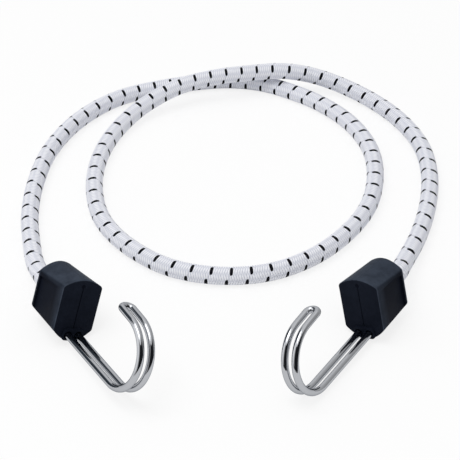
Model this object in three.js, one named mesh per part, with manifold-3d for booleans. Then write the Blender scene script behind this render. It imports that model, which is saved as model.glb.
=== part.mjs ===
// Bungee cord: a braided elastic cord with a moulded cap and a doubled wire hook on each end.
// Millimetres, +Z up. It lies on the floor, z = 0, and the origin is midway between its two ends.
// Each end is built on its own axes: x forward along the cap, y across it and z up through it.
import * as THREE from "three";
import { ConvexGeometry } from "three/addons/geometries/ConvexGeometry.js";
import { mergeVertices } from "three/addons/utils/BufferGeometryUtils.js";
import Module from "manifold-3d";

const wasm = await Module();
wasm.setup();

// Cord
const cordDiameter = 9;
const sheathWall = 0.9;
const strandCount = 3;
const leadLength = 260;
const stepLength = 14;
const cordSides = 10;
const strandSides = 6;

// Cap
const capDraft = 0.7;
const capFrontSide = 22;
const capBackSide = 17.8;
const crownFrontRise = 3.5;
const crownBackRise = 5.2;
const bellyFrontRise = 5.7;
const bellyBackRise = 5.2;
const sideWall = 1.6;
const frontWall = 3.5;
const backWall = 4;
const archSteps = 10;
const boreSides = 24;

// Collar round the two wires where they leave the cap
const collarReach = 1.2;
const collarRoot = 4;
const collarRim = 0.6;
const collarLip = 1;
const collarCorner = 1.8;

// Pegs that line the two cap halves up
const pegDiameter = 2;
const pegLength = 3;
const pegWall = 1.4;
const pegSides = 12;

// Wire hook
const wireDiameter = 3.4;
const wireSpacing = 5.6;
const shankDepth = 13;
const shankSlope = THREE.MathUtils.degToRad(5.5);
const shankLength = 44;
const bowlRadius = 16.8;
const bowlTurn = THREE.MathUtils.degToRad(177);
const tipLength = 8.8;
const postRoom = 3.8;
const postTop = 6;
const postFoot = -6;
const footRadius = 4;
const exitRadius = 8;
const wireSides = 12;

// Crimped ferrule on the cord's end
const ferruleLength = 8.5;
const ferruleWall = 1.3;
const flangeThickness = 1.8;
const flangeOverlap = 0.9;
const ferruleRoom = 1.5;
const crimpDepth = 0.5;
const crimpWidth = 1.6;
const ferruleSides = 20;

// Clearances
const pieceGap = 0.3;
const postGap = 0.1;
const floorGap = 0.1;

const cordRadius = cordDiameter / 2;
const lyingHeight = cordRadius + floorGap;
const sheathBore = cordRadius - sheathWall;
const wireRadius = wireDiameter / 2;
const boreRadius = cordRadius + pieceGap;
const slotRadius = wireRadius + pieceGap;
const pegRadius = pegDiameter / 2;
const pegHeight = boreRadius + pegWall + pegRadius + pieceGap;

// Along the cap: the back wall, the posts, the ferrule that bears on them and the front wall
const postSetback = backWall + postRoom + wireRadius;
const ferruleStart = postSetback + wireRadius + pieceGap;
const ferruleEnd = ferruleStart + ferruleLength;
const cavityEnd = ferruleEnd + ferruleRoom;
const capLength = cavityEnd + frontWall;

// Across the cap: the cord, the posts beside it and the side walls
const postOffset = boreRadius + wireRadius + postGap;
const flangeRadius = postOffset + flangeOverlap;
const capBackWidth = 2 * (postOffset + wireRadius + pieceGap + sideWall);
const capFrontWidth = capBackWidth + capDraft;

// Where each end lies: its mouth on the floor plan, its heading from +X, and how it tips and leans
const ends = {
  left: { mouth: [-79.3, 34.3], heading: -57.7, tip: -7.4, lean: -22.2 },
  right: { mouth: [79.8, 35.7], heading: -123.5, tip: -3.6, lean: 15.1 },
};

// The cord's free route, from the left mouth to the right one, with the second pass over the first.
// Each point is a place on the floor plan and a lift above the lying cord, in cord diameters.
const freeRoute = [
  [-90.5, 60.2, 0.44],
  [-94.6, 81.7, 0.11],
  [-97.9, 107.7, 0],
  [-97.6, 137.7, 0],
  [-92, 171.7, 0],
  [-78.5, 202.2, 0],
  [-58, 225.2, 0],
  [-30, 238.1, 0],
  [0, 244.8, 0],
  [21, 242.1, 0],
  [38, 233.3, 0],
  [56, 218.7, 0],
  [71.5, 197.7, 0],
  [80.6, 171.7, 0],
  [81.6, 143.7, 0],
  [75.6, 114.7, 0],
  [62, 89.7, 0],
  [44, 70.3, 0],
  [23, 58.7, 0],
  [-1, 56.2, 0],
  [-25, 63.1, 0],
  [-46, 80.9, 0],
  [-60, 103.3, 0],
  [-66.2, 131.7, 0],
  [-65.4, 161.7, 0],
  [-58, 189.2, 0.02],
  [-44, 211.3, 0.31],
  [-24.4, 223.9, 0.89],
  [-4, 230.5, 1.16],
  [16, 235.1, 1.18],
  [34, 238.1, 1.13],
  [50, 240.1, 0.73],
  [66, 237.5, 0.24],
  [84, 223.3, 0.02],
  [99, 201.3, 0],
  [108.4, 175.3, 0],
  [110.6, 146.7, 0],
  [107, 116.7, 0],
  [99.6, 88.7, 0.04],
  [90, 60.7, 0.47],
];

const sheathCloth = new THREE.MeshStandardMaterial({ color: 0xe6e8f2, roughness: 0.85 });
const latex = new THREE.MeshStandardMaterial({ color: 0xcdb98f, roughness: 0.7 });
const capPlastic = new THREE.MeshStandardMaterial({ color: 0x14161b, roughness: 0.45 });
const polishedSteel = new THREE.MeshStandardMaterial({ color: 0xc8cace, roughness: 0.08, metalness: 1 });
const crimpSteel = new THREE.MeshStandardMaterial({ color: 0xa9abad, roughness: 0.35, metalness: 1 });

// A path whose rings fall on its stations, so that a bend can have more of them than a straight
class StationPath extends THREE.Curve {
  constructor(stations) {
    super();
    this.stations = stations;
  }

  getUtoTmapping(u) {
    return u;
  }

  getPoint(t, target = new THREE.Vector3()) {
    const last = this.stations.length - 1;
    const k = Math.min(Math.floor(t * last), last - 1);
    return target.copy(this.stations[k]).lerp(this.stations[k + 1], t * last - k);
  }
}

function ring(radius, sides, offset = new THREE.Vector2()) {
  return Array.from({ length: sides }, (_, k) => {
    const angle = (2 * Math.PI * k) / sides;
    return new THREE.Vector2(Math.cos(angle), Math.sin(angle)).multiplyScalar(radius).add(offset);
  });
}

function sweep(section, stations) {
  const extrudePath = new StationPath(stations);
  return new THREE.ExtrudeGeometry(section, { steps: stations.length - 1, extrudePath });
}

function solid(geometry) {
  const bare = new THREE.BufferGeometry();
  bare.setAttribute("position", geometry.getAttribute("position"));
  bare.setIndex(geometry.getIndex());
  const sameCorner = 1e-4;
  const merged = mergeVertices(bare, sameCorner);
  return new wasm.Manifold(
    new wasm.Mesh({
      numProp: 3,
      vertProperties: merged.getAttribute("position").array,
      triVerts: new Uint32Array(merged.getIndex().array),
    }),
  );
}

function geometryOf(manifold) {
  const mesh = manifold.getMesh();
  const geometry = new THREE.BufferGeometry();
  geometry.setAttribute("position", new THREE.BufferAttribute(mesh.vertProperties, 3));
  geometry.setIndex(new THREE.BufferAttribute(mesh.triVerts, 1));
  const faceted = geometry.toNonIndexed();
  faceted.computeVertexNormals();
  return faceted;
}

function named(name, geometry, material) {
  const mesh = new THREE.Mesh(geometry, material);
  mesh.name = name;
  return mesh;
}

// Turns a shape drawn across the cap, extruded or turned, so that its depth runs along the cap
function alongCap(geometry) {
  const across = new THREE.Vector3(0, 1, 0);
  const up = new THREE.Vector3(0, 0, 1);
  const forward = new THREE.Vector3(1, 0, 0);
  return geometry.applyMatrix4(new THREE.Matrix4().makeBasis(across, up, forward));
}

function cylinderAlongCap(radius, from, to) {
  const geometry = new THREE.CylinderGeometry(radius, radius, to - from, boreSides);
  geometry.rotateZ(Math.PI / 2);
  return solid(geometry.translate((from + to) / 2, 0, 0));
}

function box(from, to) {
  const size = new THREE.Vector3().subVectors(to, from);
  const centre = new THREE.Vector3().addVectors(from, to).multiplyScalar(0.5);
  const geometry = new THREE.BoxGeometry(size.x, size.y, size.z);
  return solid(geometry.translate(centre.x, centre.y, centre.z));
}

// Cap: flat sides under an arched crown and over an arched belly, narrowing towards the cord.
// A place on its outline is a share forward along the cap, a share across it and a level, 1 or -1.
function capEdge(inset, forward, across, level) {
  const between = (back, front) => THREE.MathUtils.lerp(back, front, forward);
  const halfWidth = between(capBackWidth, capFrontWidth) / 2 - inset;
  const halfSide = between(capBackSide, capFrontSide) / 2;
  const crown = between(crownBackRise, crownFrontRise);
  const belly = between(bellyBackRise, bellyFrontRise);
  const rise = (level > 0 ? crown : belly) - inset;
  return new THREE.Vector2(across * halfWidth, level * (halfSide + rise * (1 - across * across)));
}

function capOutline(inset) {
  const shares = Array.from({ length: archSteps + 1 }, (_, k) => 1 - (2 * k) / archSteps);
  const crown = shares.map((across) => capEdge(inset, 1, across, 1));
  const belly = shares.map((across) => capEdge(inset, 1, -across, -1));
  return new THREE.Shape([...crown, ...belly]);
}

function capBlock(inset, from, to) {
  const options = { depth: to - from, bevelEnabled: false };
  const geometry = alongCap(new THREE.ExtrudeGeometry(capOutline(inset), options));
  geometry.translate(from, 0, 0);
  const place = geometry.getAttribute("position");
  for (let i = 0; i < place.count; i += 1) {
    const forward = place.getX(i) / capLength;
    const across = place.getY(i) / (capFrontWidth / 2 - inset);
    const point = capEdge(inset, forward, across, Math.sign(place.getZ(i)));
    place.setY(i, point.x);
    place.setZ(i, point.y);
  }
  return solid(geometry);
}

// The wire: a post beside the cord, a leg splayed to the exit, the shank, the bowl and the tip

const shankForward = new THREE.Vector3(Math.cos(shankSlope), 0, -Math.sin(shankSlope));
const shankUp = new THREE.Vector3(Math.sin(shankSlope), 0, Math.cos(shankSlope));
const exitPoint = new THREE.Vector3(capLength, wireSpacing / 2, -shankDepth);
const footPoint = new THREE.Vector3(postSetback, postOffset, postFoot);
const postPoint = new THREE.Vector3(postSetback, postOffset, postTop);
const bowlStart = exitPoint.clone().addScaledVector(shankForward, shankLength);

function fillet(before, corner, after, radius, steps) {
  const inward = new THREE.Vector3().subVectors(before, corner).normalize();
  const outward = new THREE.Vector3().subVectors(after, corner).normalize();
  const halfAngle = inward.angleTo(outward) / 2;
  const middle = new THREE.Vector3().addVectors(inward, outward).normalize();
  const centre = corner.clone().addScaledVector(middle, radius / Math.sin(halfAngle));
  const setback = radius / Math.tan(halfAngle);
  const first = corner.clone().addScaledVector(inward, setback).sub(centre);
  const last = corner.clone().addScaledVector(outward, setback).sub(centre);
  const sweepAngle = first.angleTo(last);
  return Array.from({ length: steps + 1 }, (_, k) => {
    const share = k / steps;
    const a = Math.sin((1 - share) * sweepAngle) / Math.sin(sweepAngle);
    const b = Math.sin(share * sweepAngle) / Math.sin(sweepAngle);
    return centre.clone().addScaledVector(first, a).addScaledVector(last, b);
  });
}

function bowlPoint(angle) {
  return bowlStart
    .clone()
    .addScaledVector(shankForward, bowlRadius * Math.sin(angle))
    .addScaledVector(shankUp, bowlRadius * (1 - Math.cos(angle)));
}

function wireStations() {
  const footSteps = 5;
  const exitSteps = 3;
  const bowlSteps = 18;
  const hairpinSteps = 8;
  const leg = [postPoint];
  leg.push(...fillet(postPoint, footPoint, exitPoint, footRadius, footSteps));
  leg.push(...fillet(footPoint, exitPoint, bowlStart, exitRadius, exitSteps));
  for (let k = 0; k <= bowlSteps; k += 1) leg.push(bowlPoint((bowlTurn * k) / bowlSteps));
  const tipForward = shankForward
    .clone()
    .multiplyScalar(Math.cos(bowlTurn))
    .addScaledVector(shankUp, Math.sin(bowlTurn));
  const tipEnd = bowlPoint(bowlTurn).addScaledVector(tipForward, tipLength);
  leg.push(tipEnd);
  const hairpin = [];
  for (let k = 1; k < hairpinSteps; k += 1) {
    const angle = (Math.PI * k) / hairpinSteps;
    const point = tipEnd.clone().addScaledVector(tipForward, (wireSpacing / 2) * Math.sin(angle));
    point.y = (wireSpacing / 2) * Math.cos(angle);
    hairpin.push(point);
  }
  const otherLeg = leg.map((point) => new THREE.Vector3(point.x, -point.y, point.z)).reverse();
  return [...leg, ...hairpin, ...otherLeg];
}

// The slot both wires pass through, from one point of a leg to the next
function wireSlot(from, to) {
  const points = [];
  for (const end of [from, to])
    for (const side of [1, -1])
      for (const corner of ring(slotRadius / Math.cos(Math.PI / wireSides), wireSides))
        points.push(new THREE.Vector3(end.x, side * end.y + corner.x, end.z + corner.y));
  return solid(new ConvexGeometry(points));
}

function collarBlock() {
  const halfWidth = wireSpacing / 2 + wireRadius + pieceGap + collarRim;
  const halfHeight = wireRadius + pieceGap + collarLip;
  const outline = new THREE.Shape();
  outline.moveTo(-halfWidth + collarCorner, -halfHeight);
  outline.lineTo(halfWidth - collarCorner, -halfHeight);
  outline.quadraticCurveTo(halfWidth, -halfHeight, halfWidth, -halfHeight + collarCorner);
  outline.lineTo(halfWidth, halfHeight - collarCorner);
  outline.quadraticCurveTo(halfWidth, halfHeight, halfWidth - collarCorner, halfHeight);
  outline.lineTo(-halfWidth + collarCorner, halfHeight);
  outline.quadraticCurveTo(-halfWidth, halfHeight, -halfWidth, halfHeight - collarCorner);
  outline.lineTo(-halfWidth, -halfHeight + collarCorner);
  outline.quadraticCurveTo(-halfWidth, -halfHeight, -halfWidth + collarCorner, -halfHeight);
  const options = { depth: collarRoot + collarReach, bevelEnabled: false, curveSegments: 4 };
  const geometry = alongCap(new THREE.ExtrudeGeometry(outline, options));
  geometry.translate(-collarRoot, 0, 0);
  geometry.rotateY(shankSlope);
  return solid(geometry.translate(exitPoint.x, 0, exitPoint.z));
}

function pegs(radius, length) {
  const places = [backWall / 2, capLength - frontWall / 2];
  const made = places.map((forward) => {
    const geometry = new THREE.CylinderGeometry(radius, radius, 2 * length, pegSides);
    return solid(geometry.translate(forward, 0, pegHeight));
  });
  return made[0].add(made[1]);
}

function capSolid() {
  const reach = exitPoint.clone().addScaledVector(shankForward, 2 * collarReach);
  return capBlock(0, 0, capLength)
    .add(collarBlock())
    .subtract(capBlock(sideWall, backWall, cavityEnd))
    .subtract(cylinderAlongCap(boreRadius, -pieceGap, backWall + pieceGap))
    .subtract(wireSlot(footPoint, exitPoint))
    .subtract(wireSlot(exitPoint, reach));
}

// side +1 is the half towards +Y, which carries the pegs
function capHalf(whole, side) {
  const far = 2 * capLength;
  const seam = (side * pieceGap) / 2;
  const low = new THREE.Vector3(-far, Math.min(seam, side * far), -far);
  const high = new THREE.Vector3(far, Math.max(seam, side * far), far);
  const half = whole.intersect(box(low, high));
  if (side > 0) {
    const below = box(new THREE.Vector3(-far, -far, -far), new THREE.Vector3(far, pieceGap, far));
    return half.add(pegs(pegRadius, pegLength).intersect(below));
  }
  return half.subtract(pegs(pegRadius + pieceGap, pegLength + pieceGap));
}

// Ferrule: a flanged sleeve with two crimp grooves, whose flange bears on the two posts
function ferruleGeometry() {
  const outer = boreRadius + ferruleWall;
  const groove = outer - crimpDepth;
  const sleeve = ferruleLength - flangeThickness;
  const profile = [
    [boreRadius, 0],
    [flangeRadius, 0],
    [flangeRadius, flangeThickness],
    [outer, flangeThickness],
  ];
  for (const share of [1 / 3, 2 / 3]) {
    const middle = flangeThickness + sleeve * share;
    profile.push([outer, middle - crimpWidth / 2], [groove, middle - crimpWidth / 4]);
    profile.push([groove, middle + crimpWidth / 4], [outer, middle + crimpWidth / 2]);
  }
  profile.push([outer, ferruleLength], [boreRadius, ferruleLength], [boreRadius, 0]);
  const points = profile.map(([radius, along]) => new THREE.Vector2(radius, along));
  const geometry = new THREE.LatheGeometry(points, ferruleSides);
  geometry.rotateZ(-Math.PI / 2);
  return geometryOf(solid(geometry.translate(ferruleStart, 0, 0)));
}

function buildEnd(side, place) {
  const end = new THREE.Group();
  const whole = capSolid();
  const wire = new THREE.Shape(ring(wireRadius, wireSides));
  end.add(
    named(side + "_cap_half_pegged", geometryOf(capHalf(whole, 1)), capPlastic),
    named(side + "_cap_half_socketed", geometryOf(capHalf(whole, -1)), capPlastic),
    named(side + "_wire_hook", sweep(wire, wireStations()), polishedSteel),
    named(side + "_cord_ferrule", ferruleGeometry(), crimpSteel),
  );
  const [roll, pitch, yaw] = [place.lean, place.tip, place.heading].map(THREE.MathUtils.degToRad);
  end.rotation.set(roll, pitch, yaw, "ZYX");
  end.position.set(...place.mouth, 0);
  end.updateMatrixWorld();
  end.position.z = -new THREE.Box3().setFromObject(end, true).min.z;
  end.updateMatrixWorld();
  return end;
}

const leftEnd = buildEnd("left", ends.left);
const rightEnd = buildEnd("right", ends.right);

// Cord: straight inside each cap, then along the free route
const mouthRun = 9;

function onAxis(end, forward) {
  return end.localToWorld(new THREE.Vector3(forward, 0, 0));
}

const cordPath = new THREE.CatmullRomCurve3(
  [
    onAxis(leftEnd, ferruleEnd),
    onAxis(leftEnd, 0),
    onAxis(leftEnd, -mouthRun),
    ...freeRoute.map(([x, y, lift]) => new THREE.Vector3(x, y, lyingHeight + lift * cordDiameter)),
    onAxis(rightEnd, -mouthRun),
    onAxis(rightEnd, 0),
    onAxis(rightEnd, ferruleEnd),
  ],
  false,
  "centripetal",
);
cordPath.arcLengthDivisions = 4000;
const cordLength = cordPath.getLength();

// A short first and last step squares each stretch's end faces to the route
function cordStations(from, to) {
  const endStep = 1;
  const run = to - from - 2 * endStep;
  const steps = Math.round(run / stepLength);
  const middle = Array.from({ length: steps + 1 }, (_, k) => from + endStep + (run * k) / steps);
  return [from, ...middle, to].map((along) => cordPath.getPointAt(along / cordLength));
}

// Strands lie side by side in the sheath's bore, each a gap from its neighbours and the bore
function strandSection(index) {
  const spread = Math.sin(Math.PI / strandCount);
  const centreRadius = (sheathBore * Math.cos(Math.PI / cordSides) - pieceGap / 2) / (1 + spread);
  const angle = (2 * Math.PI * index) / strandCount;
  const offset = new THREE.Vector2(Math.cos(angle), Math.sin(angle)).multiplyScalar(centreRadius);
  return new THREE.Shape(ring(centreRadius * spread - pieceGap / 2, strandSides, offset));
}

function sheathSection() {
  const section = new THREE.Shape(ring(cordRadius, cordSides));
  section.holes.push(new THREE.Path(ring(sheathBore, cordSides).reverse()));
  return section;
}

function buildStretch(name, from, to) {
  const stretch = new THREE.Group();
  const stations = cordStations(from, to);
  stretch.add(named("sheath_" + name, sweep(sheathSection(), stations), sheathCloth));
  for (let k = 0; k < strandCount; k += 1) {
    stretch.add(named("strand_" + (k + 1) + "_" + name, sweep(strandSection(k), stations), latex));
  }
  return stretch;
}

// The least clear gap between two passes of the cord, at places more than a bend apart
function leastGap() {
  const sampleStep = 2;
  const bendLength = 100;
  const points = cordPath.getSpacedPoints(Math.round(cordLength / sampleStep));
  const apart = Math.round(bendLength / sampleStep);
  let least = Infinity;
  for (let i = 0; i < points.length; i += 1) {
    for (let j = i + apart; j < points.length; j += 1) {
      least = Math.min(least, points[i].distanceTo(points[j]));
    }
  }
  return least - cordDiameter;
}

const bungee = new THREE.Group();
bungee.add(
  leftEnd,
  rightEnd,
  buildStretch("left_lead", 0, leadLength - pieceGap / 2),
  buildStretch("loop", leadLength + pieceGap / 2, cordLength - leadLength - pieceGap / 2),
  buildStretch("right_lead", cordLength - leadLength + pieceGap / 2, cordLength),
);
console.log("cord length " + cordLength.toFixed(1) + " mm");
console.log("least gap where the cord passes over itself " + leastGap().toFixed(2) + " mm");

export default bungee;
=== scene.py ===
import math

import bpy
import numpy as np
from mathutils import Euler, Matrix, Vector


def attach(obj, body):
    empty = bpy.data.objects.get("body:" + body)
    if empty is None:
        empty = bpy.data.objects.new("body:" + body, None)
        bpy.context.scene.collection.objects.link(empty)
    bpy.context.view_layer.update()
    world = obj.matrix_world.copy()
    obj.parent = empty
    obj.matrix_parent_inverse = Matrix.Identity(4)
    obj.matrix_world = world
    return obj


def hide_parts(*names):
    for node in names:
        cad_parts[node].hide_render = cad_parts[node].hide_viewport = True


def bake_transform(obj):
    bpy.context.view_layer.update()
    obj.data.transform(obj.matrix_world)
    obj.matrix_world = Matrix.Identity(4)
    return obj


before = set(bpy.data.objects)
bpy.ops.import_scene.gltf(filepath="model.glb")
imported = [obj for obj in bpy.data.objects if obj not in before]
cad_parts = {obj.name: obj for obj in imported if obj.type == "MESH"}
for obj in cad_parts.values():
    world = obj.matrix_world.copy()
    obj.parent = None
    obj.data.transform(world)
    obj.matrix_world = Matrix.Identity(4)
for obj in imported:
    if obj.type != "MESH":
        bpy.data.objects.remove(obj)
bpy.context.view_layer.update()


# Camera: a long lens on a tripod in front of the hooks, level from side to side and tipped
# down at the floor. Its aim is a point of the floor inside the cord's loop.
MM = 0.001
bpy.context.scene.view_settings.view_transform = "Standard"
camera_aim = Vector((4.8, 101.7, 0)) * MM
camera_distance = 937.1 * MM
camera_elevation = math.radians(35)
camera_back = Vector((0, -math.cos(camera_elevation), math.sin(camera_elevation)))
bpy.ops.object.camera_add(
    location=camera_aim + camera_back * camera_distance,
    rotation=(math.radians(90) - camera_elevation, 0, 0),
)
bpy.context.scene.camera = bpy.context.object
bpy.context.object.data.sensor_width = 36
bpy.context.object.data.lens = 143.3


# The lay: where the two hooked ends rest on the floor, and the route of the cord between them.
# An end has axes of its own: x forward along its cap, y across it and z up through it.
def end_axes(mouth, heading, tip, lean):
    """The axes of an end on the floor, from its mouth in millimetres and its turns in degrees."""
    turn = Euler([math.radians(angle) for angle in (lean, tip, heading)], "XYZ")
    return Matrix.Translation(Vector(mouth) * MM) @ turn.to_matrix().to_4x4()


END_AXES = {
    "left": end_axes((-79.3, 34.3, 13.71), heading=-57.7, tip=-7.4, lean=-22.2),
    "right": end_axes((79.8, 35.7, 14.92), heading=-123.5, tip=-3.6, lean=15.1),
}
CORD_DIAMETER = 9 * MM
CORD_END = 20 * MM
mouth_run = 9 * MM
floor_gap = 0.1 * MM
lying_height = CORD_DIAMETER / 2 + floor_gap
# Millimetres on the floor, and the lift above the lying cord in cord diameters
free_route = [
    (-90.5, 60.2, 0.44), (-94.6, 81.7, 0.11), (-97.9, 107.7, 0), (-97.6, 137.7, 0), (-92, 171.7, 0),
    (-78.5, 202.2, 0), (-58, 225.2, 0), (-30, 238.1, 0), (0, 244.8, 0), (21, 242.1, 0),
    (38, 233.3, 0), (56, 218.7, 0), (71.5, 197.7, 0), (80.6, 171.7, 0), (81.6, 143.7, 0),
    (75.6, 114.7, 0), (62, 89.7, 0), (44, 70.3, 0), (23, 58.7, 0), (-1, 56.2, 0), (-25, 63.1, 0),
    (-46, 80.9, 0), (-60, 103.3, 0), (-66.2, 131.7, 0), (-65.4, 161.7, 0), (-58, 189.2, 0.02),
    (-44, 211.3, 0.31), (-24.4, 223.9, 0.89), (-4, 230.5, 1.16), (16, 235.1, 1.18),
    (34, 238.1, 1.13), (50, 240.1, 0.73), (66, 237.5, 0.24), (84, 223.3, 0.02), (99, 201.3, 0),
    (108.4, 175.3, 0), (110.6, 146.7, 0), (107, 116.7, 0), (99.6, 88.7, 0.04), (90, 60.7, 0.47),
]


def on_end(side, forward):
    """The place on an end's middle line that lies so far forward of its mouth."""
    return np.array(END_AXES[side] @ Vector((forward, 0, 0)))


def smooth_route(points):
    """Places on the centripetal Catmull-Rom curve through the points, and how far along each is."""
    ends = [2 * points[0] - points[1], 2 * points[-1] - points[-2]]
    p = np.array([ends[0], *points, ends[1]])
    steps = 200
    t = np.linspace(0, 1, steps, endpoint=False)[:, None]
    dense = []
    for p0, p1, p2, p3 in zip(p, p[1:], p[2:], p[3:]):
        d0, d1, d2 = (np.sqrt(np.linalg.norm(b - a)) for a, b in ((p0, p1), (p1, p2), (p2, p3)))
        m1 = ((p1 - p0) / d0 - (p2 - p0) / (d0 + d1) + (p2 - p1) / d1) * d1
        m2 = ((p2 - p1) / d1 - (p3 - p1) / (d1 + d2) + (p3 - p2) / d2) * d1
        hermite = (
            (2 * t**3 - 3 * t**2 + 1) * p1
            + (t**3 - 2 * t**2 + t) * m1
            + (3 * t**2 - 2 * t**3) * p2
            + (t**3 - t**2) * m2
        )
        dense.append(hermite)
    dense = np.concatenate([*dense, points[-1][None]])
    return dense, np.concatenate([[0], np.cumsum(np.linalg.norm(np.diff(dense, axis=0), axis=1))])


def level_frames(centres):
    """Two directions across the route at each of its places, turning as little as they can."""
    tangents = np.gradient(centres, axis=0)
    tangents /= np.linalg.norm(tangents, axis=1)[:, None]
    across = np.zeros_like(tangents)
    sideways = np.cross(tangents[0], (0, 0, 1))
    for k, tangent in enumerate(tangents):
        sideways = sideways - tangent * (sideways @ tangent)
        sideways = sideways / np.linalg.norm(sideways)
        across[k] = sideways
    return across, np.cross(tangents, across)


# Braid: sixteen carriers of white polyester yarn, eight each way, plaited two over and two under
# round the core. One carrier is black, so it shows as a short tick four times in each turn.
CARRIERS = 8
PLAIT_REPEAT = 4
FLOAT_END_HEIGHT = 0.5
RING_SIDES = 40
braid_valley = 4.36 * MM
yarn_height = 0.2 * MM
tick_start = 0.53
# How the braid lies: millimetres from the cord's left end, degrees that the cord has turned about
# its length, and millimetres of lay, which is how far a yarn runs along in one turn
braid_marks = [
    (0, 76, 10.2), (22, 76, 10.2), (32, 73, 11), (43, 66, 11.5), (53, 59, 14.2), (64, 54, 13),
    (76, 52, 11.1), (95, 51, 10.9), (130, 49, 11.3), (150, 46, 11.3), (230, 22, 9.8), (290, 12, 9.4),
    (330, 5, 9.6), (360, 0, 9.8), (400, -7, 10.4), (450, -16, 11.2), (560, -29, 9.5), (620, -27, 9.7),
    (690, -20, 11.4), (740, -4, 10.8), (780, 8, 9.1), (830, 22, 8.8), (870, 38, 10.1), (910, 47, 10.9),
    (960, 50, 10.7), (1010, 54, 10.2), (1052, 58, 12.2), (1064, 61, 15), (1085, 65, 17.5),
]

cord_points = [on_end("left", CORD_END), on_end("left", 0), on_end("left", -mouth_run)]
for x, y, lift in free_route:
    cord_points.append(np.array((x * MM, y * MM, lying_height + lift * CORD_DIAMETER)))
cord_points += [on_end("right", -mouth_run), on_end("right", 0), on_end("right", CORD_END)]
curve, curve_along = smooth_route(cord_points)
marks_along, marks_turn, marks_lay = np.array(braid_marks).T
curve_lay = np.interp(curve_along, marks_along * MM, marks_lay * MM)
curve_turns = np.concatenate([[0], np.cumsum(np.diff(curve_along) / curve_lay[1:])])
YARN_TURNS = np.arange(0, curve_turns[-1], 1 / RING_SIDES)
ALONG = np.interp(YARN_TURNS, curve_turns, curve_along)
YARN_TURNS += tick_start
ROUTE = np.stack([np.interp(ALONG, curve_along, curve[:, k]) for k in range(3)], axis=1)
SIDEWAYS, UPWARDS = level_frames(ROUTE)


def closed_tube(name, rings, uv=None):
    """A mesh tube through rings of points, with a disc on each end."""
    count, sides = rings.shape[:2]
    verts = np.concatenate([rings.reshape(-1, 3), rings[[0, -1]].mean(axis=1)])
    ring, side = np.meshgrid(np.arange(count - 1), np.arange(sides), indexing="ij")
    ring, side = ring.ravel(), side.ravel()
    turned = (side + 1) % sides
    quads = np.stack(
        [ring * sides + side, ring * sides + turned, (ring + 1) * sides + turned,
         (ring + 1) * sides + side], axis=1)
    first, last = count * sides, count * sides + 1
    k = np.arange(sides)
    start_disc = np.stack([np.full(sides, first), (k + 1) % sides, k], axis=1)
    base = (count - 1) * sides
    end_disc = np.stack([np.full(sides, last), base + k, base + (k + 1) % sides], axis=1)
    mesh = bpy.data.meshes.new(name)
    mesh.from_pydata(verts.tolist(), [], [*quads.tolist(), *start_disc.tolist(), *end_disc.tolist()])
    smooth = np.ones(len(mesh.polygons), bool)
    smooth[len(quads):] = False
    mesh.polygons.foreach_set("use_smooth", smooth)
    if uv is not None:
        corners = [uv[ring, side], uv[ring, side + 1], uv[ring + 1, side + 1], uv[ring + 1, side]]
        flat = np.zeros((len(mesh.loops), 2))
        flat[: 4 * len(quads)] = np.stack(corners, axis=1).reshape(-1, 2)
        mesh.uv_layers.new(name="braid").data.foreach_set("uv", flat.ravel())
    piece = bpy.data.objects.new(name, mesh)
    bpy.context.collection.objects.link(piece)
    return piece


def round_the_route(rows, angles, radius):
    """Points round the route at the given rows, at an angle and a radius for each."""
    cos, sin = np.cos(angles)[..., None], np.sin(angles)[..., None]
    out = SIDEWAYS[rows][:, None] * cos + UPWARDS[rows][:, None] * sin
    return ROUTE[rows][:, None] + out * radius[..., None]


def braid_height(left, right):
    """Height of the top yarn, from 0 in a crease to 1 on the crown of a float."""
    plait = np.mod(np.floor(left) - np.floor(right), PLAIT_REPEAT)
    left_on_top = plait < PLAIT_REPEAT / 2
    across = np.where(left_on_top, left % 1, right % 1)
    float_place = np.where(left_on_top, right % 1 - plait, left % 1 + plait - (PLAIT_REPEAT - 1))
    crown = np.sqrt(np.clip(1 - (2 * across - 1) ** 2, 0, 1))
    swell = np.cos(math.pi / 2 * float_place)
    return crown * (FLOAT_END_HEIGHT + (1 - FLOAT_END_HEIGHT) * swell)


def braid_stretch(name, first, last):
    """A stretch of the braid, mapped in counts of the yarns that run left and right round it."""
    rows = np.arange(first, last + 1)
    around = np.arange(RING_SIDES + 1) / RING_SIDES
    turns = YARN_TURNS[rows][:, None]
    yarns = CARRIERS * np.stack([turns + around, turns - around], axis=-1)
    rounding_guard = 1e-6
    ring_yarns = yarns[:, :-1] + rounding_guard
    radius = braid_valley + yarn_height * braid_height(ring_yarns[..., 0], ring_yarns[..., 1])
    turned = np.radians(np.interp(ALONG[rows], marks_along * MM, marks_turn))
    angles = 2 * math.pi * around[:-1] + turned[:, None]
    return closed_tube(name, round_the_route(rows, angles, radius), uv=yarns)


# Where the neck and the lead of each side end, measured from that end of the cord
neck_length, lead_length = 75 * MM, 260 * MM
left_neck, left_lead = np.searchsorted(ALONG, (neck_length, lead_length))
right_lead, right_neck = np.searchsorted(ALONG, (ALONG[-1] - lead_length, ALONG[-1] - neck_length))
last_row = len(ALONG) - 1
STRETCHES = {
    "left_neck": (0, left_neck),
    "left_lead": (left_neck, left_lead),
    "loop": (left_lead, right_lead),
    "right_lead": (right_lead, right_neck),
    "right_neck": (right_neck, last_row),
}
BRAID = {name: braid_stretch("braid_" + name, *rows) for name, rows in STRETCHES.items()}


def linear(hex_colour):
    """Linear RGBA from an sRGB hex value."""
    channels = [int(hex_colour[k : k + 2], 16) / 255 for k in (1, 3, 5)]
    return (*(c / 12.92 if c <= 0.04045 else ((c + 0.055) / 1.055) ** 2.4 for c in channels), 1)


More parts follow.
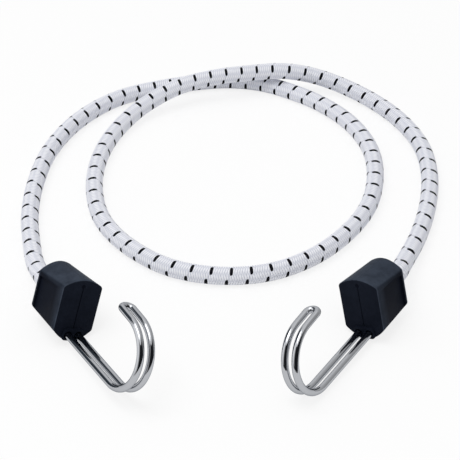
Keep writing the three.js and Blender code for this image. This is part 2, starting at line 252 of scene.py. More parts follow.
def node(tree, kind, inputs=None, **settings):
    """A new node with its settings. An input is a value, or what links to it: a socket or a node."""
    made = tree.nodes.new(kind)
    for name, value in settings.items():
        setattr(made, name, value)
    for key, value in (inputs or {}).items():
        source = value.outputs[0] if isinstance(value, bpy.types.Node) else value
        if isinstance(source, bpy.types.NodeSocket):
            tree.links.new(source, made.inputs[key])
        else:
            made.inputs[key].default_value = source
    return made


def new_material(name):
    material = bpy.data.materials.new(name)
    material.use_nodes = True
    return material, material.node_tree, material.node_tree.nodes["Principled BSDF"]


# Braided polyester: matt white filament yarn. The creases between the yarns get a painted blue-grey
# shade, and the black carrier shows as lens-shaped ticks, and faintly through the yarns that pass over
# it.
polyester, tree, shader = new_material("braided_polyester")
# The black carrier and its ticks, in yarn widths
black_middle = 0.5
tick_half_width, tick_half_length = 0.98, 1.27
tick_edge_out, tick_edge_in = -0.03, 0.06
cover_near, cover_far = 0.1, 0.35
# Counts in the width of a yarn
tints_per_yarn, ends_per_carrier = 1.7, 2
# Heights, in which the crown of a yarn is 1
rib_height = 0.25
shade_relief_low, shade_relief_high = 0.15, 1.1
# Shares of the darker colours that are laid over the white: the carrier seen through the yarns, and the
# painted shade in the creases
cover_share, crease_shade_share = 0.25, 0.6
place = node(tree, "ShaderNodeUVMap", uv_map="braid")
count = node(tree, "ShaderNodeVectorMath", {0: place}, operation="FLOOR")
within = node(tree, "ShaderNodeVectorMath", {0: place}, operation="FRACTION")
spot = node(tree, "ShaderNodeSeparateXYZ", {0: place}).outputs
count = node(tree, "ShaderNodeSeparateXYZ", {0: count}).outputs
within = node(tree, "ShaderNodeSeparateXYZ", {0: within}).outputs
plait = node(tree, "ShaderNodeMath", {0: count["X"], 1: count["Y"]}, operation="SUBTRACT")
plait = node(tree, "ShaderNodeMath", {0: plait, 1: PLAIT_REPEAT}, operation="FLOORED_MODULO")
left_on_top = node(
    tree, "ShaderNodeMath", {0: plait, 1: PLAIT_REPEAT / 2 - 0.5}, operation="LESS_THAN")
across = node(tree, "ShaderNodeMix", {0: left_on_top, 2: within["Y"], 3: within["X"]})
left_place = node(tree, "ShaderNodeMath", {0: within["Y"], 1: plait}, operation="SUBTRACT")
right_place = node(tree, "ShaderNodeMath", {0: within["X"], 1: plait}, operation="ADD")
right_place = node(
    tree, "ShaderNodeMath", {0: right_place, 1: PLAIT_REPEAT - 1}, operation="SUBTRACT")
float_place = node(tree, "ShaderNodeMix", {0: left_on_top, 2: right_place, 3: left_place})
swell = node(tree, "ShaderNodeMath", {0: float_place, 1: math.pi / 2}, operation="MULTIPLY")
swell = node(tree, "ShaderNodeMath", {0: swell}, operation="COSINE", use_clamp=True)
off_middle = node(tree, "ShaderNodeMath", {0: across, 1: 2.0, 2: -1.0}, operation="MULTIPLY_ADD")
off_middle = node(tree, "ShaderNodeMath", {0: off_middle}, operation="ABSOLUTE")
crown = node(tree, "ShaderNodeMath", {0: off_middle, 1: 2.0}, operation="POWER")
crown = node(tree, "ShaderNodeMath", {0: 1.0, 1: crown}, operation="SUBTRACT", use_clamp=True)
crown = node(tree, "ShaderNodeMath", {0: crown, 1: 0.5}, operation="POWER")
rise = node(tree, "ShaderNodeMath", {
    0: swell, 1: 1 - FLOAT_END_HEIGHT, 2: FLOAT_END_HEIGHT}, operation="MULTIPLY_ADD")
yarn_top = node(tree, "ShaderNodeMath", {0: crown, 1: rise}, operation="MULTIPLY")

beside = node(tree, "ShaderNodeMath", {
    0: spot["X"], 1: black_middle + CARRIERS / 2, 2: black_middle - CARRIERS / 2}, operation="WRAP")
beside = node(tree, "ShaderNodeMath", {0: beside, 1: black_middle}, operation="SUBTRACT")
beside = node(tree, "ShaderNodeMath", {0: beside}, operation="ABSOLUTE")
lengthwise = node(tree, "ShaderNodeMath", {
    0: spot["Y"], 1: PLAIT_REPEAT / 2, 2: -PLAIT_REPEAT / 2}, operation="WRAP")
lengthwise = node(tree, "ShaderNodeMath", {0: lengthwise, 1: tick_half_length}, operation="DIVIDE")
lens = node(tree, "ShaderNodeMath", {0: lengthwise, 1: 2.0}, operation="POWER")
lens = node(tree, "ShaderNodeMath", {0: 1.0, 1: lens}, operation="SUBTRACT", use_clamp=True)
lens = node(tree, "ShaderNodeMath", {0: lens, 1: tick_half_width}, operation="MULTIPLY")
inside = node(tree, "ShaderNodeMath", {0: lens, 1: beside}, operation="SUBTRACT")
tick = node(tree, "ShaderNodeMapRange", {
    "Value": inside, "From Min": tick_edge_out, "From Max": tick_edge_in})
covered = node(tree, "ShaderNodeMapRange", {
    "Value": beside, "From Min": cover_near, "From Max": cover_far,
    "To Min": cover_share, "To Max": 0.0})

yarn_tint = node(tree, "ShaderNodeTexNoise", {"Vector": place, "Scale": tints_per_yarn, "Detail": 2.0})
white_yarn = node(
    tree, "ShaderNodeMix", {0: yarn_tint, 6: linear("#EEF0F7"), 7: linear("#FAFAFE")}, data_type="RGBA")
rib = node(tree, "ShaderNodeMath", {0: across, 1: math.pi * ends_per_carrier}, operation="MULTIPLY")
rib = node(tree, "ShaderNodeMath", {0: rib}, operation="SINE")
rib = node(tree, "ShaderNodeMath", {0: rib}, operation="ABSOLUTE")
relief = node(tree, "ShaderNodeMath", {0: rib, 1: rib_height, 2: yarn_top}, operation="MULTIPLY_ADD")
# Painted shade: where the relief is low, in the creases between the yarns, the white is darkened
# blue-grey
crease_shade = node(tree, "ShaderNodeMapRange", {
    "Value": relief, "From Min": shade_relief_low, "From Max": shade_relief_high,
    "To Min": crease_shade_share, "To Max": 0.0})
crease_shaded = node(
    tree, "ShaderNodeMix", {0: crease_shade, 6: white_yarn.outputs[2], 7: linear("#8E97B4")}, data_type="RGBA")
dulled = node(
    tree, "ShaderNodeMix", {0: covered, 6: crease_shaded.outputs[2], 7: linear("#5E6B88")}, data_type="RGBA")
cloth = node(
    tree, "ShaderNodeMix", {0: tick, 6: dulled.outputs[2], 7: linear("#0B0C12")}, data_type="RGBA")
bump = node(tree, "ShaderNodeBump", {"Strength": 0.7, "Distance": yarn_height, "Height": relief})
tree.links.new(cloth.outputs[2], shader.inputs["Base Color"])
tree.links.new(bump.outputs["Normal"], shader.inputs["Normal"])
shader.inputs["Roughness"].default_value = 0.62
shader.inputs["Specular IOR Level"].default_value = 0.06


# Core: latex threads laid side by side inside the braid, three thick ones for the many fine ones.
# They are as long as the cord and are crimped with the braid in the ferrule on each end.
strand_count = 3
strand_sides = 12
strand_radius = 1.35 * MM
strand_offset = 1.75 * MM
rings_per_lay = 5
strand_step = RING_SIDES // rings_per_lay

# Natural latex: dull tan rubber, paler in patches where its bloom has come to the surface
bloom_width = 2.5 * MM
latex, tree, shader = new_material("natural_latex")
where = node(tree, "ShaderNodeTexCoord").outputs["Object"]
bloom = node(
    tree, "ShaderNodeTexNoise", {"Vector": where, "Scale": 1 / bloom_width, "Detail": 3.0}).outputs["Fac"]
latex_colour = node(
    tree, "ShaderNodeMix", {0: bloom, 6: linear("#C8B386"), 7: linear("#D9C9A4")}, data_type="RGBA",
).outputs[2]
tree.links.new(latex_colour, shader.inputs["Base Color"])
shader.inputs["Roughness"].default_value = 0.7


def core_stretch(name, first, last):
    """A stretch of the core: its strands, joined as one piece."""
    rows = np.unique([*np.arange(first, last, strand_step), last])
    angles = 2 * math.pi * np.arange(strand_sides) / strand_sides
    strands = []
    for k in range(strand_count):
        turn = 2 * math.pi * k / strand_count
        offset = SIDEWAYS[rows] * math.cos(turn) + UPWARDS[rows] * math.sin(turn)
        rings = round_the_route(rows, angles[None], np.full((len(rows), strand_sides), strand_radius))
        strands.append(closed_tube(name + "_" + str(k + 1), rings + strand_offset * offset[:, None]))
    bpy.ops.object.select_all(action="DESELECT")
    for strand in strands:
        strand.select_set(True)
    bpy.context.view_layer.objects.active = strands[0]
    bpy.ops.object.join()
    strands[0].name = name
    return strands[0]


CORE = {name: core_stretch("core_" + name, *rows) for name, rows in STRETCHES.items()}


def follow(piece, name):
    """Ties the loop to its body; a lead or a neck is only baked in place where it lies."""
    if name == "loop":
        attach(piece, "loop")
        return
    side, kind = name.split("_")
    if kind == "lead":
        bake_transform(piece)
        return
    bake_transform(piece)


for name, (first, last) in STRETCHES.items():
    braid, core = BRAID[name], CORE[name]
    braid.data.materials.append(polyester)
    core.data.materials.append(latex)
    follow(braid, name)
    follow(core, name)
    # A neck belongs to the same solids as its lead
    if not name.endswith("neck"):
        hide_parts("sheath_" + name)
        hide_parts(*("strand_%d_%s" % (k + 1, name) for k in range(strand_count)))


# Ferrule: a flanged steel sleeve crimped on each end of the cord, out of sight in the cap.
# Its solid is kept, in the plain grey of drawn steel with dull scuffs from the crimping tool.
scuff_width = 1.11 * MM
steel, tree, shader = new_material("crimped_steel")
where = node(tree, "ShaderNodeTexCoord").outputs["Object"]
scuff = node(
    tree, "ShaderNodeTexNoise", {"Vector": where, "Scale": 1 / scuff_width, "Detail": 4.0}).outputs["Fac"]
scuffed = node(tree, "ShaderNodeMapRange", {"Value": scuff, "To Min": 0.28, "To Max": 0.5}).outputs[0]
tree.links.new(scuffed, shader.inputs["Roughness"])
shader.inputs["Base Color"].default_value = linear("#A5A7AA")
shader.inputs["Metallic"].default_value = 1
for side in END_AXES:
    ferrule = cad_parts[side + "_cord_ferrule"]
    ferrule.data.materials.clear()
    ferrule.data.materials.append(steel)


# Hook: one length of bright plated wire bent double. Each leg starts as a post beside the cord,
# leaves the cap at the foot of its front, runs out as a shank and turns up into the bowl.
CAP_LENGTH = 25 * MM
WIRE_DIAMETER = 3.4 * MM
WIRE_SPACING = 5.6 * MM
SHANK_DEPTH = 13 * MM
SHANK_SLOPE = math.radians(5.5)
shank_length = 44 * MM
bowl_radius = 16.8 * MM
bowl_turn = math.radians(177)
tip_length = 8.8 * MM
post_bend, exit_bend = 4 * MM, 8 * MM
post_bend_steps, exit_bend_steps = 10, 6
bowl_steps, tip_steps, hairpin_steps = 60, 8, 24
SAME_PLACE = 0.01 * MM
post = Vector((9.5, 6.6, 6)) * MM
post_foot = Vector((9.5, 6.6, -6)) * MM
wire_exit = Vector((CAP_LENGTH, WIRE_SPACING / 2, -SHANK_DEPTH))
shank_forward = Vector((math.cos(SHANK_SLOPE), 0, -math.sin(SHANK_SLOPE)))
shank_up = Vector((math.sin(SHANK_SLOPE), 0, math.cos(SHANK_SLOPE)))


def rounded_corner(before, corner, after, radius, steps):
    """Points on the arc of that radius that rounds a corner off."""
    inward, outward = (before - corner).normalized(), (after - corner).normalized()
    half = inward.angle(outward) / 2
    centre = corner + (inward + outward).normalized() * radius / math.sin(half)
    first = corner + inward * radius / math.tan(half) - centre
    last = corner + outward * radius / math.tan(half) - centre
    return [centre + first.slerp(last, k / steps).normalized() * radius for k in range(steps + 1)]


def hook_line():
    """The middle line of the wire, from one post round the tip of the hook to the other post."""
    bowl_start = wire_exit + shank_forward * shank_length
    leg = [post]
    leg += rounded_corner(post, post_foot, wire_exit, post_bend, post_bend_steps)
    leg += rounded_corner(post_foot, wire_exit, bowl_start, exit_bend, exit_bend_steps)
    for k in range(bowl_steps + 1):
        angle = bowl_turn * k / bowl_steps
        rise = shank_up * (1 - math.cos(angle))
        leg.append(bowl_start + (shank_forward * math.sin(angle) + rise) * bowl_radius)
    tip_forward = shank_forward * math.cos(bowl_turn) + shank_up * math.sin(bowl_turn)
    tip = leg[-1] + tip_forward * tip_length
    leg += [leg[-1].lerp(tip, (k + 1) / tip_steps) for k in range(tip_steps)]
    hairpin = []
    for k in range(1, hairpin_steps):
        angle = math.pi * k / hairpin_steps
        point = tip + tip_forward * WIRE_SPACING / 2 * math.sin(angle)
        point.y = WIRE_SPACING / 2 * math.cos(angle)
        hairpin.append(point)
    return [*leg, *hairpin, *(Vector((p.x, -p.y, p.z)) for p in reversed(leg))]


def select_only(piece):
    bpy.ops.object.select_all(action="DESELECT")
    piece.select_set(True)
    bpy.context.view_layer.objects.active = piece


def bent_wire(name, radius):
    """The hook's wire, or a channel for it, as a closed mesh of that radius."""
    line = bpy.data.curves.new(name, "CURVE")
    line.dimensions = "3D"
    line.bevel_depth = radius
    line.bevel_resolution = 6
    line.use_fill_caps = True
    points = hook_line()
    spline = line.splines.new("POLY")
    spline.points.add(len(points) - 1)
    for bend, point in zip(spline.points, points):
        bend.co = (*point, 1)
    wire = bpy.data.objects.new(name, line)
    bpy.context.collection.objects.link(wire)
    select_only(wire)
    bpy.ops.object.convert(target="MESH")
    bpy.ops.object.mode_set(mode="EDIT")
    bpy.ops.mesh.select_all(action="SELECT")
    bpy.ops.mesh.remove_doubles(threshold=SAME_PLACE)
    bpy.ops.mesh.normals_make_consistent(inside=False)
    bpy.ops.object.mode_set(mode="OBJECT")
    bpy.ops.object.shade_smooth_by_angle(angle=math.radians(40))
    return bpy.context.object


# Bright plated wire: a mirror, a little duller in patches where drawing and tumbling marked the wire
patch_width = 1.43 * MM
plated_wire, tree, shader = new_material("bright_plated_wire")
where = node(tree, "ShaderNodeTexCoord").outputs["Object"]
patch = node(
    tree, "ShaderNodeTexNoise", {"Vector": where, "Scale": 1 / patch_width, "Detail": 3.0}).outputs["Fac"]
wire_gloss = node(tree, "ShaderNodeMapRange", {"Value": patch, "To Min": 0.05, "To Max": 0.13}).outputs[0]
tree.links.new(wire_gloss, shader.inputs["Roughness"])
shader.inputs["Base Color"].default_value = linear("#B6B8BC")
shader.inputs["Specular Tint"].default_value = linear("#B4B6BA")
shader.inputs["Metallic"].default_value = 1


def place_on_end(pattern, side, name):
    """A copy of a piece that was modelled on an end's own axes, laid where that end is."""
    piece = bpy.data.objects.new(name, pattern.data.copy())
    bpy.context.collection.objects.link(piece)
    piece.data.transform(END_AXES[side])
    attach(piece, side + "_end")
    return piece


hook_pattern = bent_wire("hook_pattern", WIRE_DIAMETER / 2)
hook_pattern.data.materials.append(plated_wire)
for side in END_AXES:
    hook = place_on_end(hook_pattern, side, side + "_bent_wire")
    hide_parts(side + "_wire_hook")


# Cap: two black polypropylene halves, moulded with flat sides, an arched top and underside and a
# collar round the wires, then closed over the ferrule and the posts along the middle seam.
CAP_FRONT_WIDTH = 21.1 * MM
CAP_BACK_WIDTH = 20.4 * MM
CAP_FRONT_SIDE = 22 * MM
CAP_BACK_SIDE = 17.8 * MM
CROWN_FRONT_RISE = 3.5 * MM
CROWN_BACK_RISE = 5.2 * MM
BELLY_FRONT_RISE = 5.7 * MM
BELLY_BACK_RISE = 5.2 * MM
arch_steps = 20
corner_radius = 2 * MM
corner_steps = 5


def pick_edges(piece, wanted):
    """In edit mode, selects the edges that are wanted, by the places of their two ends."""
    bpy.ops.object.mode_set(mode="OBJECT")
    mesh = piece.data
    for group in (mesh.vertices, mesh.edges, mesh.polygons):
        for item in group:
            item.select = False
    for edge in mesh.edges:
        start, end = (mesh.vertices[k].co for k in edge.vertices)
        edge.select = wanted(start, end)
    bpy.ops.object.mode_set(mode="EDIT")
    bpy.context.tool_settings.mesh_select_mode = (False, True, False)


def tapered(forward, back, front):
    """A size of the cap at a place along it, from what it is at the back and at the front."""
    return back + (front - back) * forward / CAP_LENGTH


def cap_arch(forward, level, inset):
    """The cap's crown, level 1, or its belly, level -1, with the rounded corners to its sides."""
    half_width = tapered(forward, CAP_BACK_WIDTH, CAP_FRONT_WIDTH) / 2 - inset
    half_side = tapered(forward, CAP_BACK_SIDE, CAP_FRONT_SIDE) / 2
    crown_rise = tapered(forward, CROWN_BACK_RISE, CROWN_FRONT_RISE)
    belly_rise = tapered(forward, BELLY_BACK_RISE, BELLY_FRONT_RISE)
    rise = (crown_rise if level > 0 else belly_rise) - inset
    arch = []
    for k in range(arch_steps + 1):
        across = 1 - 2 * k / arch_steps
        height = half_side + rise * (1 - across * across)
        arch.append(Vector((forward, level * across * half_width, level * height)))
    down_side = Vector((0, 0, -level * half_side))
    first = rounded_corner(arch[0] + down_side, arch[0], arch[1], corner_radius, corner_steps)
    last = rounded_corner(arch[-2], arch[-1], arch[-1] + down_side, corner_radius, corner_steps)
    return [*first, *arch[1:-1], *last]


def cap_block(name, inset, back, front):
    """The cap's arched block between two planes across it, smaller all round by the inset."""
    bpy.ops.object.select_all(action="DESELECT")
    outlines = [cap_arch(x, 1, inset) + cap_arch(x, -1, inset) for x in (back, front)]
    bpy.ops.mesh.primitive_circle_add(vertices=len(outlines[0]))
    block = bpy.context.object
    block.name = name
    bpy.ops.object.mode_set(mode="EDIT")
    bpy.ops.mesh.primitive_circle_add(vertices=len(outlines[1]))
    bpy.ops.object.mode_set(mode="OBJECT")
    for vertex, point in zip(block.data.vertices, outlines[0] + outlines[1]):
        vertex.co = point
    bpy.ops.object.mode_set(mode="EDIT")
    bpy.ops.mesh.select_all(action="SELECT")
    bpy.ops.mesh.bridge_edge_loops()
    bpy.ops.mesh.select_all(action="SELECT")
    bpy.ops.mesh.fill_holes(sides=0)
    bpy.ops.mesh.normals_make_consistent(inside=False)
    bpy.ops.object.mode_set(mode="OBJECT")
    return block


def cut(piece, tool, operation):
    """Applies a boolean with the tool where it stands, and removes the tool."""
    select_only(tool)
    bpy.ops.object.transform_apply(location=True, rotation=True, scale=True)
    select_only(piece)
    modifier = piece.modifiers.new("cut", "BOOLEAN")
    modifier.operation = operation
    modifier.solver = "MANIFOLD"
    modifier.object = tool
    bpy.ops.object.modifier_apply(modifier="cut")
    bpy.data.objects.remove(tool)


# The block, with its front and back edges rounded and a panel sunk in each side, deepest at the back
front_radius = 0.55 * MM
back_radius = 0.8 * MM
panel_back, panel_front = 1.7 * MM, CAP_LENGTH - 2.6 * MM
panel_drop = 2.3 * MM
rim_fade = CAP_LENGTH - 7 * MM
panel_depth = 1.2 * MM

cap = cap_block("cap_pattern", 0, 0, CAP_LENGTH)
select_only(cap)
pick_edges(cap, lambda start, end: min(start.x, end.x) > CAP_LENGTH - SAME_PLACE)
bpy.ops.mesh.bevel(offset=front_radius, segments=3, affect="EDGES")
pick_edges(cap, lambda start, end: max(start.x, end.x) < SAME_PLACE)
bpy.ops.mesh.bevel(offset=back_radius, segments=3, affect="EDGES")
for panel_end in (panel_back, panel_front):
    bpy.ops.mesh.select_all(action="SELECT")
    bpy.ops.mesh.bisect(plane_co=(panel_end, 0, 0), plane_no=(1, 0, 0))
bpy.ops.object.mode_set(mode="OBJECT")
for across in (1, -1):
    bpy.ops.object.select_all(action="DESELECT")
    bpy.ops.mesh.primitive_cube_add(size=2)
    wedge = bpy.context.object
    for vertex in wedge.data.vertices:
        x = panel_front if vertex.co.x > 0 else panel_back
        sunk = panel_depth * (panel_front - x) / (panel_front - panel_back)
        half_width = tapered(x, CAP_BACK_WIDTH, CAP_FRONT_WIDTH) / 2
        y = half_width - sunk if vertex.co.y < 0 else 2 * half_width
        top = tapered(x, CAP_BACK_SIDE, CAP_FRONT_SIDE) / 2 - panel_drop
        vertex.co = (x, across * y, top if vertex.co.z > 0 else -CAP_FRONT_SIDE)
    bpy.ops.object.mode_set(mode="EDIT")
    bpy.ops.mesh.select_all(action="SELECT")
    bpy.ops.mesh.normals_make_consistent(inside=False)
    bpy.ops.mesh.bisect(plane_co=(rim_fade, 0, 0), plane_no=(1, 0, 0))
    bpy.ops.object.mode_set(mode="OBJECT")
    cut(cap, wedge, "DIFFERENCE")

# The collar, in line with the shanks, which the two wires come out of
collar_reach = 1.2 * MM
collar_root = 4 * MM
collar_margin = 2.6 * MM
collar_half_width = WIRE_SPACING / 2 + collar_margin
collar_half_height = 3 * MM
collar_corner = 1.8 * MM
collar_edge = 0.5 * MM
bpy.ops.object.select_all(action="DESELECT")
bpy.ops.mesh.primitive_cube_add(size=1)
collar = bpy.context.object
bpy.ops.object.mode_set(mode="EDIT")
bpy.ops.transform.resize(
    value=(collar_reach + collar_root, 2 * collar_half_width, 2 * collar_half_height))
bpy.ops.transform.translate(value=((collar_reach - collar_root) / 2, 0, 0))
pick_edges(collar, lambda start, end: abs(start.x - end.x) > SAME_PLACE)
bpy.ops.mesh.bevel(offset=collar_corner, segments=6, affect="EDGES")
pick_edges(collar, lambda start, end: min(start.x, end.x) > collar_reach - SAME_PLACE)
bpy.ops.mesh.bevel(offset=collar_edge, segments=3, affect="EDGES")
bpy.ops.object.mode_set(mode="OBJECT")
collar.data.transform(
    Matrix.Translation((CAP_LENGTH, 0, -SHANK_DEPTH)) @ Matrix.Rotation(SHANK_SLOPE, 4, "Y"))
cut(cap, collar, "UNION")

# The room inside for the ferrule, the mouth for the cord and the channels that hold the wires
back_wall = 4 * MM
cavity_end = 21.5 * MM
side_wall = 2 * MM
clearance = 0.3 * MM
mouth_overrun = 0.5 * MM
cut(cap, cap_block("cavity", side_wall, back_wall, cavity_end), "DIFFERENCE")
bpy.ops.object.select_all(action="DESELECT")
bpy.ops.mesh.primitive_cylinder_add(
    vertices=64, radius=CORD_DIAMETER / 2 + clearance, depth=2 * (back_wall + mouth_overrun),
    rotation=(0, math.radians(90), 0))
cut(cap, bpy.context.object, "DIFFERENCE")
cut(cap, bent_wire("wire_channel", WIRE_DIAMETER / 2 + clearance), "DIFFERENCE")

# The groove of the seam, down the front as far as the collar
seam_groove = 0.5 * MM
seam_depth = 0.3 * MM
groove_foot = collar_half_height - SHANK_DEPTH
bpy.ops.object.select_all(action="DESELECT")
bpy.ops.mesh.primitive_cube_add(size=1)
bpy.ops.transform.resize(value=(2 * seam_depth, seam_groove, CAP_FRONT_SIDE))
bpy.ops.transform.translate(value=(CAP_LENGTH, 0, groove_foot + CAP_FRONT_SIDE / 2))
cut(cap, bpy.context.object, "DIFFERENCE")

# The dimple at the head of the front, where the mould was filled
gate_radius = 1.3 * MM
gate_place = Vector((CAP_LENGTH + 0.7 * MM, 0, 11.2 * MM))
bpy.ops.object.select_all(action="DESELECT")
bpy.ops.mesh.primitive_uv_sphere_add(segments=24, ring_count=12, radius=gate_radius, location=gate_place)
cut(cap, bpy.context.object, "DIFFERENCE")

# Moulded polypropylene: satin black with a fine spark-eroded grain, with a painted grey sheen and
# highlight on the crown and edges, broken up in clouds like handling wear. The grain is drawn coarser
# than the real one, so that it shows.
grain_width = 0.4545 * MM
grain_depth = 0.05 * MM
cloud_width = 6.25 * MM
black_moulding, tree, shader = new_material("black_polypropylene")
where = node(tree, "ShaderNodeTexCoord").outputs["Object"]
grain = node(
    tree, "ShaderNodeTexNoise", {"Vector": where, "Scale": 1 / grain_width, "Detail": 2.0}).outputs["Fac"]
cloud = node(tree, "ShaderNodeTexNoise", {
    "Vector": where, "Scale": 1 / cloud_width, "Detail": 6.0, "Roughness": 0.65}).outputs["Fac"]
deep_black = node(
    tree, "ShaderNodeMix", {0: cloud, 6: linear("#0D1018"), 7: linear("#191D28")}, data_type="RGBA")
# The painted sheen and highlights come from each face's attribute and are broken up in clouds
sheen_and_wear_patches = node(tree, "ShaderNodeMapRange", {
    "Value": cloud, "From Min": 0.3, "From Max": 0.7, "To Min": 0.6, "To Max": 1.15})
painted_sheen_and_wear = node(tree, "ShaderNodeAttribute", attribute_name="painted_sheen_and_wear").outputs["Fac"]
painted_sheen_and_wear = node(tree, "ShaderNodeMath", {0: painted_sheen_and_wear, 1: sheen_and_wear_patches}, operation="MULTIPLY")
moulded_colour = node(
    tree, "ShaderNodeMix", {0: painted_sheen_and_wear, 6: deep_black.outputs[2], 7: linear("#454D5A")}, data_type="RGBA",
).outputs[2]
moulded_gloss = node(
    tree, "ShaderNodeMapRange", {"Value": cloud, "To Min": 0.36, "To Max": 0.5}).outputs[0]
grained = node(tree, "ShaderNodeBump", {"Strength": 0.25, "Distance": grain_depth, "Height": grain})
tree.links.new(moulded_colour, shader.inputs["Base Color"])
tree.links.new(moulded_gloss, shader.inputs["Roughness"])
tree.links.new(grained.outputs["Normal"], shader.inputs["Normal"])
shader.inputs["Specular IOR Level"].default_value = 0.008
cap.data.materials.clear()
cap.data.materials.append(black_moulding)

# How much painted grey there is, as a share: a painted highlight most on the front's rounded edge and a
# painted sheen on the crown, where it grows towards the front, and least on the front face, where it
# grows with the height, so that the front is painted darker towards the bottom
crown_sheen, crown_sheen_growth = 0.6, 0.1
front_grey, front_grey_by_height = 0.05, 0.05
edge_highlight, side_front_highlight, back_rim_highlight = 0.75, 0.5, 0.3
# The parts of a face's normal that tell the front, its rounded edge, the sides and the crown apart
front_facing, edge_facing, side_facing = 0.95, 0.2, 0.5
crown_start, crown_full = 0.15, 0.75
gate_reach = 1.2 * gate_radius


def sheen_and_wear_share(face, place):
    """How much painted grey sheen and highlight a face has at a place. The inside, the underside and the
    gate have none.
    """
    middle, facing = face.center, face.normal
    on_flank = abs(middle.y) > CAP_BACK_WIDTH / 2 - side_wall / 2
    on_top = middle.z > CAP_BACK_SIDE / 2
    in_gate = (middle - gate_place).length < gate_reach
    # Painted shade on the front face: darker towards the bottom
    if facing.x > front_facing and middle.x > CAP_LENGTH - SAME_PLACE:
        return front_grey + front_grey_by_height * place.z / CAP_FRONT_SIDE
    if in_gate or not (on_flank or on_top):
        return 0
    # Painted sheen on the crown, stronger towards the front, and painted highlights on the front edge,
    # the front of the sides and the back rim
    on_crown = min(max((facing.z - crown_start) / (crown_full - crown_start), 0), 1)
    crown = on_crown * (crown_sheen + crown_sheen_growth * place.x / CAP_LENGTH)
    near_front = max(place.x - rim_fade, 0) / (CAP_LENGTH - rim_fade)
    on_side = abs(facing.x) < side_facing
    on_edge = edge_facing < facing.x < front_facing and middle.x > CAP_LENGTH - front_radius
    on_back_rim = middle.x < panel_back
    return max(crown, side_front_highlight * near_front * on_side, edge_highlight * on_edge, back_rim_highlight * on_back_rim)


# The two halves: what a block on either side of the seam keeps of the whole cap
seam_gap = 0.06 * MM
half_room = 60 * MM
for half, across in (("pegged", 1), ("socketed", -1)):
    shell = bpy.data.objects.new("cap_half_pattern", cap.data.copy())
    bpy.context.collection.objects.link(shell)
    bpy.ops.object.select_all(action="DESELECT")
    bpy.ops.mesh.primitive_cube_add(
        size=half_room, location=(0, across * (half_room + seam_gap) / 2, 0))
    cut(shell, bpy.context.object, "INTERSECT")
    # Each face's share of painted sheen and highlight, from where it faces
    sheen_and_wear_marks = shell.data.attributes.new("painted_sheen_and_wear", "FLOAT", "CORNER")
    for face in shell.data.polygons:
        for corner, vertex in zip(face.loop_indices, face.vertices):
            sheen_and_wear_marks.data[corner].value = sheen_and_wear_share(face, shell.data.vertices[vertex].co)
    select_only(shell)
    bpy.ops.object.shade_smooth_by_angle(angle=math.radians(35))
    for side in END_AXES:
        moulding = place_on_end(shell, side, side + "_cap_moulding_" + half)
        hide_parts(side + "_cap_half_" + half)
    bpy.data.objects.remove(shell)
bpy.data.objects.remove(cap)
bpy.data.objects.remove(hook_pattern)


# Floor and light: a white table under soft light from above. The camera and polished metal see
# it as plain white, and it keeps a faint shadow where the cord and hooks touch it.
table_size = 12
plain_white = 0.8


def seen_directly(tree):
    """1 for what the camera or a mirror sees, and 0 for the light that the surface gives to others."""
    path = node(tree, "ShaderNodeLightPath").outputs
    seen = node(tree, "ShaderNodeMath", {
        0: path["Is Camera Ray"], 1: path["Is Glossy Ray"]}, operation="MAXIMUM")
    return node(tree, "ShaderNodeMath", {0: seen, 1: path["Is Transmission Ray"]}, operation="MAXIMUM")


table, tree, shader = new_material("white_table")
shader.inputs["Base Color"].default_value = linear("#FBFBFB")
shader.inputs["Roughness"].default_value = 0.9
shader.inputs["Specular IOR Level"].default_value = 0
glow = node(tree, "ShaderNodeEmission", {"Color": (1, 1, 1, 1), "Strength": 1.0})
plain_share = node(tree, "ShaderNodeMath", {0: seen_directly(tree), 1: plain_white}, operation="MULTIPLY")
mixed = node(
    tree, "ShaderNodeMixShader",
    {0: plain_share, 1: shader.outputs["BSDF"], 2: glow.outputs["Emission"]})
tree.links.new(mixed.outputs[0], tree.nodes["Material Output"].inputs["Surface"])
bpy.ops.object.select_all(action="DESELECT")
bpy.ops.mesh.primitive_plane_add(size=table_size)
floor = bpy.context.object
floor.name = "table_top"
floor.data.materials.append(table)

horizon_light, zenith_light = 0.28, 0.86
light_lean = 0.15
world = bpy.data.worlds.new("studio")
world.use_nodes = True
bpy.context.scene.world = world
tree = world.node_tree
towards = node(tree, "ShaderNodeTexCoord").outputs["Generated"]
towards = node(tree, "ShaderNodeSeparateXYZ", {0: towards}).outputs
height = node(tree, "ShaderNodeMath", {
    0: towards["X"], 1: -light_lean, 2: towards["Z"]}, operation="MULTIPLY_ADD")
room = node(
    tree, "ShaderNodeMapRange", {"Value": height, "To Min": horizon_light, "To Max": zenith_light})
level = node(tree, "ShaderNodeMix", {0: seen_directly(tree), 2: room, 3: 1.0})
tree.links.new(level.outputs[0], tree.nodes["Background"].inputs["Strength"])
tree.nodes["Background"].inputs["Color"].default_value = (1, 1, 1, 1)

key_place = (-0.35, -0.1, 1.3)
bpy.ops.object.light_add(type="AREA", location=key_place)
key = bpy.context.object
key.data.shape = "RECTANGLE"
key.data.size = 0.9
key.data.size_y = 0.7
key.data.energy = 6.5
key.rotation_euler = (camera_aim - key.location).to_track_quat("-Z", "Y").to_euler()

# Surround: the studio round the table, which only polished surfaces see. A soft box stands on the
# left and a white sweep behind, and the dark room in front gives bright metal its dark bands.
studio_surround, tree, shader = new_material("studio_surround")
soft_box_light = 1.35
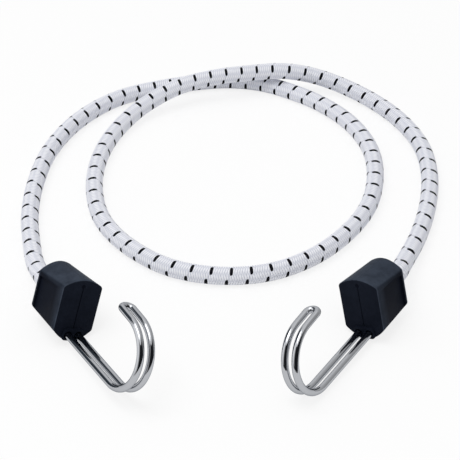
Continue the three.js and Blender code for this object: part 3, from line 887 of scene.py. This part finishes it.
# Degrees round the table, clockwise from straight behind it, and the grey that is seen there
greys_round = [
    (-87, "#FBFBFB"), (-79, "#363D44"), (-47, "#363D44"), (-30, "#D0D0D0"),
    (0, "#DBDBDB"), (30, "#C1C1C1"), (70, "#ADADAD"), (92, "#989898"),
    (112, "#202124"), (202, "#191A1D"), (212, "#949494"), (235, "#E9E9E9"),
]
# The share of a turn at which the gradient comes to straight behind
straight_behind = 0.75
where = node(tree, "ShaderNodeTexCoord").outputs["Object"]
from_aim = node(tree, "ShaderNodeVectorMath", {0: where, 1: camera_aim}, operation="SUBTRACT")
turn = node(tree, "ShaderNodeTexGradient", {0: from_aim}, gradient_type="RADIAL").outputs["Fac"]
ramp = node(tree, "ShaderNodeValToRGB", {0: turn})
for end in ramp.color_ramp.elements:
    end.color = linear("#FFFFFF")
for degrees, grey in greys_round:
    ramp.color_ramp.elements.new((straight_behind - degrees / 360) % 1).color = linear(grey)
glow = node(tree, "ShaderNodeEmission", {"Color": ramp.outputs["Color"], "Strength": soft_box_light})
tree.links.new(glow.outputs[0], tree.nodes["Material Output"].inputs["Surface"])
surround_distance = 1.6
surround_top = 2
surround_foot = 0.5 * MM
table_half_width, table_half_length = 0.2, 0.3
bpy.ops.object.select_all(action="DESELECT")
bpy.ops.mesh.primitive_cylinder_add(
    vertices=64, radius=surround_distance, depth=surround_top - surround_foot, end_fill_type="NOTHING",
    location=(camera_aim.x, camera_aim.y, (surround_top + surround_foot) / 2))
bpy.ops.object.transform_apply(location=True, rotation=True, scale=True)
surround = bpy.context.object
pick_edges(surround, lambda start, end: max(start.z, end.z) < 2 * surround_foot)
bpy.ops.mesh.extrude_edges_move()
bpy.ops.transform.resize(
    value=(table_half_width / surround_distance, table_half_length / surround_distance, 1),
    center_override=(*camera_aim.xy, surround_foot))
bpy.ops.object.mode_set(mode="OBJECT")
surround.name = "studio_surround"
surround.data.materials.append(studio_surround)
surround.visible_camera = False
surround.visible_diffuse = False
surround.visible_shadow = False
